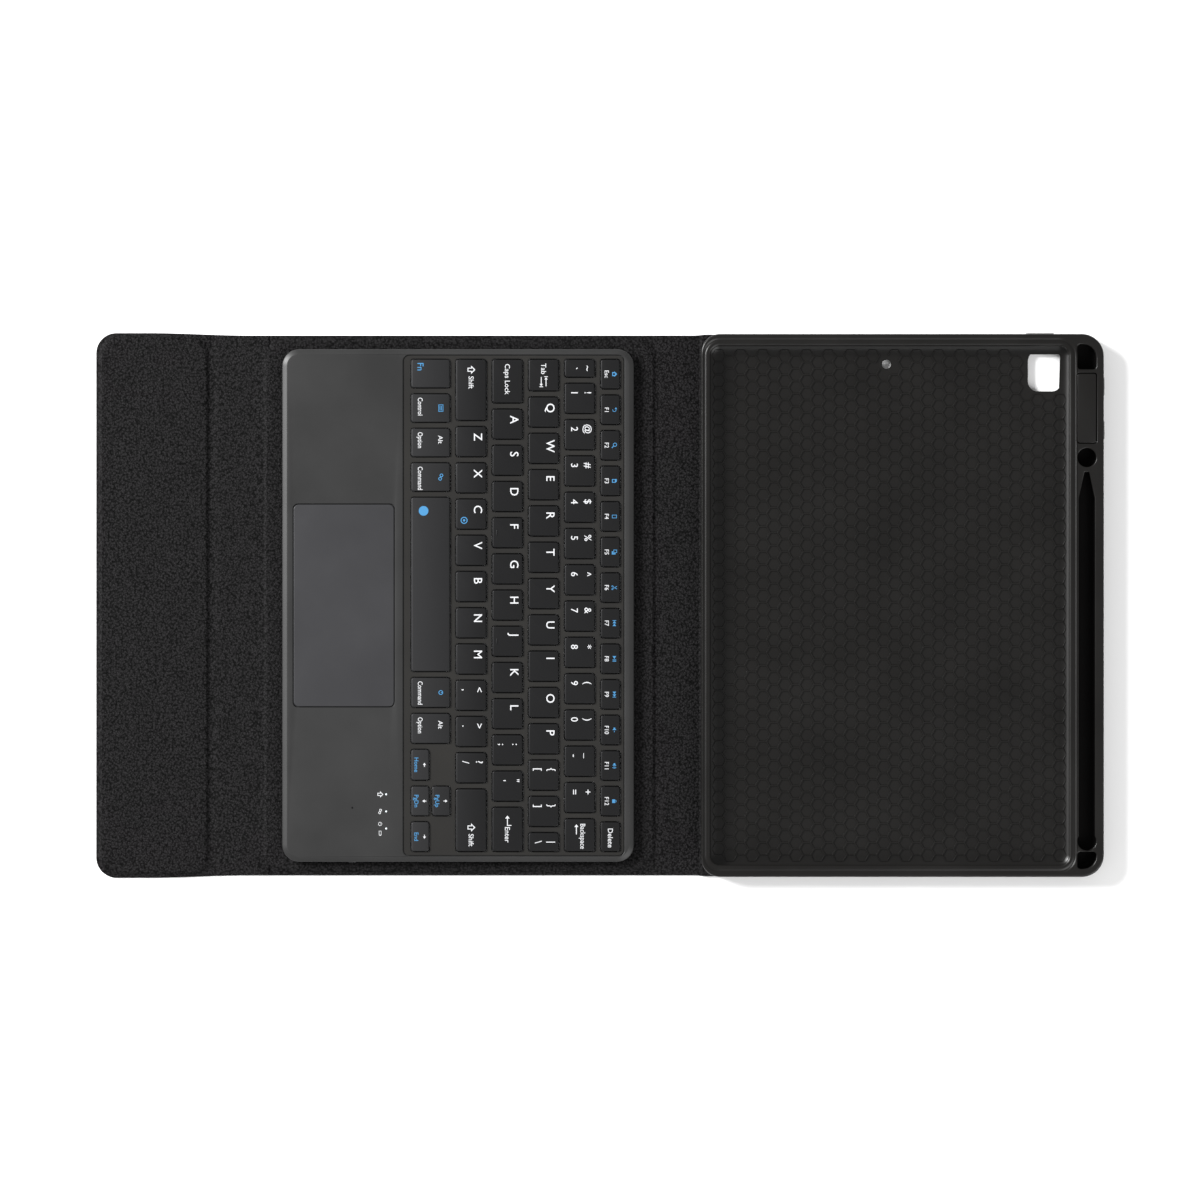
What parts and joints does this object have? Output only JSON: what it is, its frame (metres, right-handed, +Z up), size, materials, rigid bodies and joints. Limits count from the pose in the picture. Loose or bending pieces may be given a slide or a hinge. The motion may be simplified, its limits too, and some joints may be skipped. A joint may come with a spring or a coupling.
{
  "type": "tablet keyboard case",
  "caption": "Folding cover for a tablet with a soft tray, a pencil slot, a lift-off keyboard with a trackpad and a flap that wraps shut.",
  "frame": {"origin": "centre of the underside of the case lying open and flat", "axes": "+X to the typist's right, +Y away from the typist towards the tablet tray, +Z up out of the tray"},
  "size_m": [0.26, 0.4807, 0.0118],
  "materials": {
    "cover_leather": "fine-grained black artificial leather",
    "lining_leather": "fine-grained black artificial leather",
    "stiffening_board": "plain stiff board",
    "tray_soft_plastic": "soft black plastic, satin",
    "keyboard_case_plastic": "dark grey satin plastic",
    "key_plastic": "black satin plastic",
    "trackpad_plate": "smooth dark grey touch surface",
    "foot_rubber": "matt black rubber",
    "plated_steel": "zinc-plated sheet steel",
    "nickel_magnet": "nickel-plated magnet",
    "circuit_board": "green solder mask",
    "membrane_film": "clear film with printed tracks",
    "dome_silicone": "translucent silicone rubber",
    "battery_foil": "laminated foil pouch",
    "clear_lens": "clear moulded plastic"
  },
  "bodies": {
    "front_panel": {"front_outer_skin": "cover_leather", "front_board": "stiffening_board", "front_lining": "lining_leather", "keyboard_catch_plate": "plated_steel"},
    "closure_strip": {"closure_strip_outer_skin": "cover_leather", "closure_strip_lining": "lining_leather"},
    "closure_flap": {"flap_outer_skin": "cover_leather", "flap_board": "stiffening_board", "flap_closure_magnet": "nickel_magnet", "flap_lining": "lining_leather"},
    "spine": {"spine_outer_skin": "cover_leather", "spine_lining": "lining_leather"},
    "stand_panel": {"stand_outer_skin": "cover_leather", "stand_board": "stiffening_board", "stand_lining": "lining_leather"},
    "back_panel": {"back_outer_skin": "cover_leather", "back_board": "stiffening_board", "flap_catch_plate": "plated_steel", "tablet_tray": "tray_soft_plastic"},
    "volume_rocker": {"volume_rocker": "tray_soft_plastic"},
    "power_button_pad": {"power_button_pad": "tray_soft_plastic"},
    "keyboard": {"keyboard_top_case": "keyboard_case_plastic", "keyboard_bottom_cover": "keyboard_case_plastic", "rubber_foot_1": "foot_rubber", "rubber_foot_2": "foot_rubber", "rubber_foot_3": "foot_rubber", "rubber_foot_4": "foot_rubber", "key_support_plate": "plated_steel", "membrane_circuit": "membrane_film", "rubber_dome_sheet": "dome_silicone", "battery": "battery_foil", "main_board": "circuit_board", "charge_port": "plated_steel", "indicator_lens_1": "clear_lens", "indicator_lens_2": "clear_lens", "indicator_lens_3": "clear_lens", "keyboard_magnet_left": "nickel_magnet", "keyboard_magnet_right": "nickel_magnet", "trackpad_switch": "plated_steel"},
    "trackpad": {"trackpad": "trackpad_plate"},
    "power_switch_knob": {"power_switch_knob": "key_plastic"},
    "left_modifier_keys": {"left_modifier_keys": "key_plastic"},
    "space_key": {"space_key": "key_plastic"},
    "right_modifier_keys": {"right_modifier_keys": "key_plastic"},
    "left_arrow_key": {"left_arrow_key": "key_plastic"},
    "down_arrow_key": {"down_arrow_key": "key_plastic"},
    "up_arrow_key": {"up_arrow_key": "key_plastic"},
    "right_arrow_key": {"right_arrow_key": "key_plastic"},
    "left_shift_key": {"left_shift_key": "key_plastic"},
    "lower_letter_keys": {"lower_letter_keys": "key_plastic"},
    "right_shift_key": {"right_shift_key": "key_plastic"},
    "caps_lock_key": {"caps_lock_key": "key_plastic"},
    "home_letter_keys": {"home_letter_keys": "key_plastic"},
    "enter_key": {"enter_key": "key_plastic"},
    "tab_key": {"tab_key": "key_plastic"},
    "upper_letter_keys": {"upper_letter_keys": "key_plastic"},
    "number_keys": {"number_keys": "key_plastic"},
    "backspace_key": {"backspace_key": "key_plastic"},
    "function_keys": {"function_keys": "key_plastic"}
  },
  "joints": [
    {"name": "back_spine_fold", "type": "hinge", "parent": "spine", "child": "stand_panel", "pos_m": [0, 0.04715, 0.0012], "axis": [1, 0, 0], "range_deg": [0, 90]},
    {"name": "back_stand_fold", "type": "hinge", "parent": "stand_panel", "child": "back_panel", "pos_m": [0, 0.13115, 0], "axis": [1, 0, 0], "range_deg": [-70, 0]},
    {"name": "closure_flap_fold", "type": "hinge", "parent": "closure_strip", "child": "closure_flap", "pos_m": [0, -0.18515, 0.0012], "axis": [-1, 0, 0], "range_deg": [0, 90]},
    {"name": "closure_strip_fold", "type": "hinge", "parent": "front_panel", "child": "closure_strip", "pos_m": [0, -0.16495, 0.0012], "axis": [-1, 0, 0], "range_deg": [0, 90]},
    {"name": "front_spine_fold", "type": "hinge", "parent": "front_panel", "child": "spine", "pos_m": [0, 0.02945, 0.0012], "axis": [1, 0, 0], "range_deg": [0, 90]},
    {"name": "keyboard_lift", "type": "slide", "parent": "front_panel", "child": "keyboard", "axis": [0, 0, -1], "range_m": [-0.03, 0]},
    {"name": "power_button_press", "type": "slide", "parent": "back_panel", "child": "power_button_pad", "axis": [1, 0, 0], "range_m": [0, 0.0005], "stiffness_N_per_m": 2000, "springref_m": -0.0003},
    {"name": "power_switch_slide", "type": "slide", "parent": "keyboard", "child": "power_switch_knob", "axis": [0, 1, 0], "range_m": [0, 0.0022]},
    {"name": "trackpad_press", "type": "slide", "parent": "keyboard", "child": "trackpad", "axis": [0, 0, -1], "range_m": [0, 0.0004], "stiffness_N_per_m": 1500, "springref_m": -0.0005},
    {"name": "volume_rocker_press", "type": "hinge", "parent": "back_panel", "child": "volume_rocker", "pos_m": [-0.0939, 0.23205, 0.008], "axis": [0, 0, 1], "range_deg": [-1.5, 1.5], "stiffness_Nm_per_rad": 0.1},
    {"name": "left_modifier_press", "type": "slide", "parent": "keyboard", "child": "left_modifier_keys", "axis": [0, 0, -1], "range_m": [0, 0.001], "stiffness_N_per_m": 1500, "springref_m": -0.001},
    {"name": "space_press", "type": "slide", "parent": "keyboard", "child": "space_key", "axis": [0, 0, -1], "range_m": [0, 0.001], "stiffness_N_per_m": 600, "springref_m": -0.001},
    {"name": "right_modifier_press", "type": "slide", "parent": "keyboard", "child": "right_modifier_keys", "axis": [0, 0, -1], "range_m": [0, 0.001], "stiffness_N_per_m": 1500, "springref_m": -0.001},
    {"name": "left_arrow_press", "type": "slide", "parent": "keyboard", "child": "left_arrow_key", "axis": [0, 0, -1], "range_m": [0, 0.001], "stiffness_N_per_m": 600, "springref_m": -0.001},
    {"name": "down_arrow_press", "type": "slide", "parent": "keyboard", "child": "down_arrow_key", "axis": [0, 0, -1], "range_m": [0, 0.001], "stiffness_N_per_m": 600, "springref_m": -0.001},
    {"name": "up_arrow_press", "type": "slide", "parent": "keyboard", "child": "up_arrow_key", "axis": [0, 0, -1], "range_m": [0, 0.001], "stiffness_N_per_m": 600, "springref_m": -0.001},
    {"name": "right_arrow_press", "type": "slide", "parent": "keyboard", "child": "right_arrow_key", "axis": [0, 0, -1], "range_m": [0, 0.001], "stiffness_N_per_m": 600, "springref_m": -0.001},
    {"name": "left_shift_press", "type": "slide", "parent": "keyboard", "child": "left_shift_key", "axis": [0, 0, -1], "range_m": [0, 0.001], "stiffness_N_per_m": 600, "springref_m": -0.001},
    {"name": "lower_letter_press", "type": "slide", "parent": "keyboard", "child": "lower_letter_keys", "axis": [0, 0, -1], "range_m": [0, 0.001], "stiffness_N_per_m": 1500, "springref_m": -0.001},
    {"name": "right_shift_press", "type": "slide", "parent": "keyboard", "child": "right_shift_key", "axis": [0, 0, -1], "range_m": [0, 0.001], "stiffness_N_per_m": 600, "springref_m": -0.001},
    {"name": "caps_lock_press", "type": "slide", "parent": "keyboard", "child": "caps_lock_key", "axis": [0, 0, -1], "range_m": [0, 0.001], "stiffness_N_per_m": 600, "springref_m": -0.001},
    {"name": "home_letter_press", "type": "slide", "parent": "keyboard", "child": "home_letter_keys", "axis": [0, 0, -1], "range_m": [0, 0.001], "stiffness_N_per_m": 1500, "springref_m": -0.001},
    {"name": "enter_press", "type": "slide", "parent": "keyboard", "child": "enter_key", "axis": [0, 0, -1], "range_m": [0, 0.001], "stiffness_N_per_m": 600, "springref_m": -0.001},
    {"name": "tab_press", "type": "slide", "parent": "keyboard", "child": "tab_key", "axis": [0, 0, -1], "range_m": [0, 0.001], "stiffness_N_per_m": 600, "springref_m": -0.001},
    {"name": "upper_letter_press", "type": "slide", "parent": "keyboard", "child": "upper_letter_keys", "axis": [0, 0, -1], "range_m": [0, 0.001], "stiffness_N_per_m": 1500, "springref_m": -0.001},
    {"name": "number_press", "type": "slide", "parent": "keyboard", "child": "number_keys", "axis": [0, 0, -1], "range_m": [0, 0.001], "stiffness_N_per_m": 1500, "springref_m": -0.001},
    {"name": "backspace_press", "type": "slide", "parent": "keyboard", "child": "backspace_key", "axis": [0, 0, -1], "range_m": [0, 0.001], "stiffness_N_per_m": 600, "springref_m": -0.001},
    {"name": "function_press", "type": "slide", "parent": "keyboard", "child": "function_keys", "axis": [0, 0, -1], "range_m": [0, 0.001], "stiffness_N_per_m": 1500, "springref_m": -0.001}
  ]
}
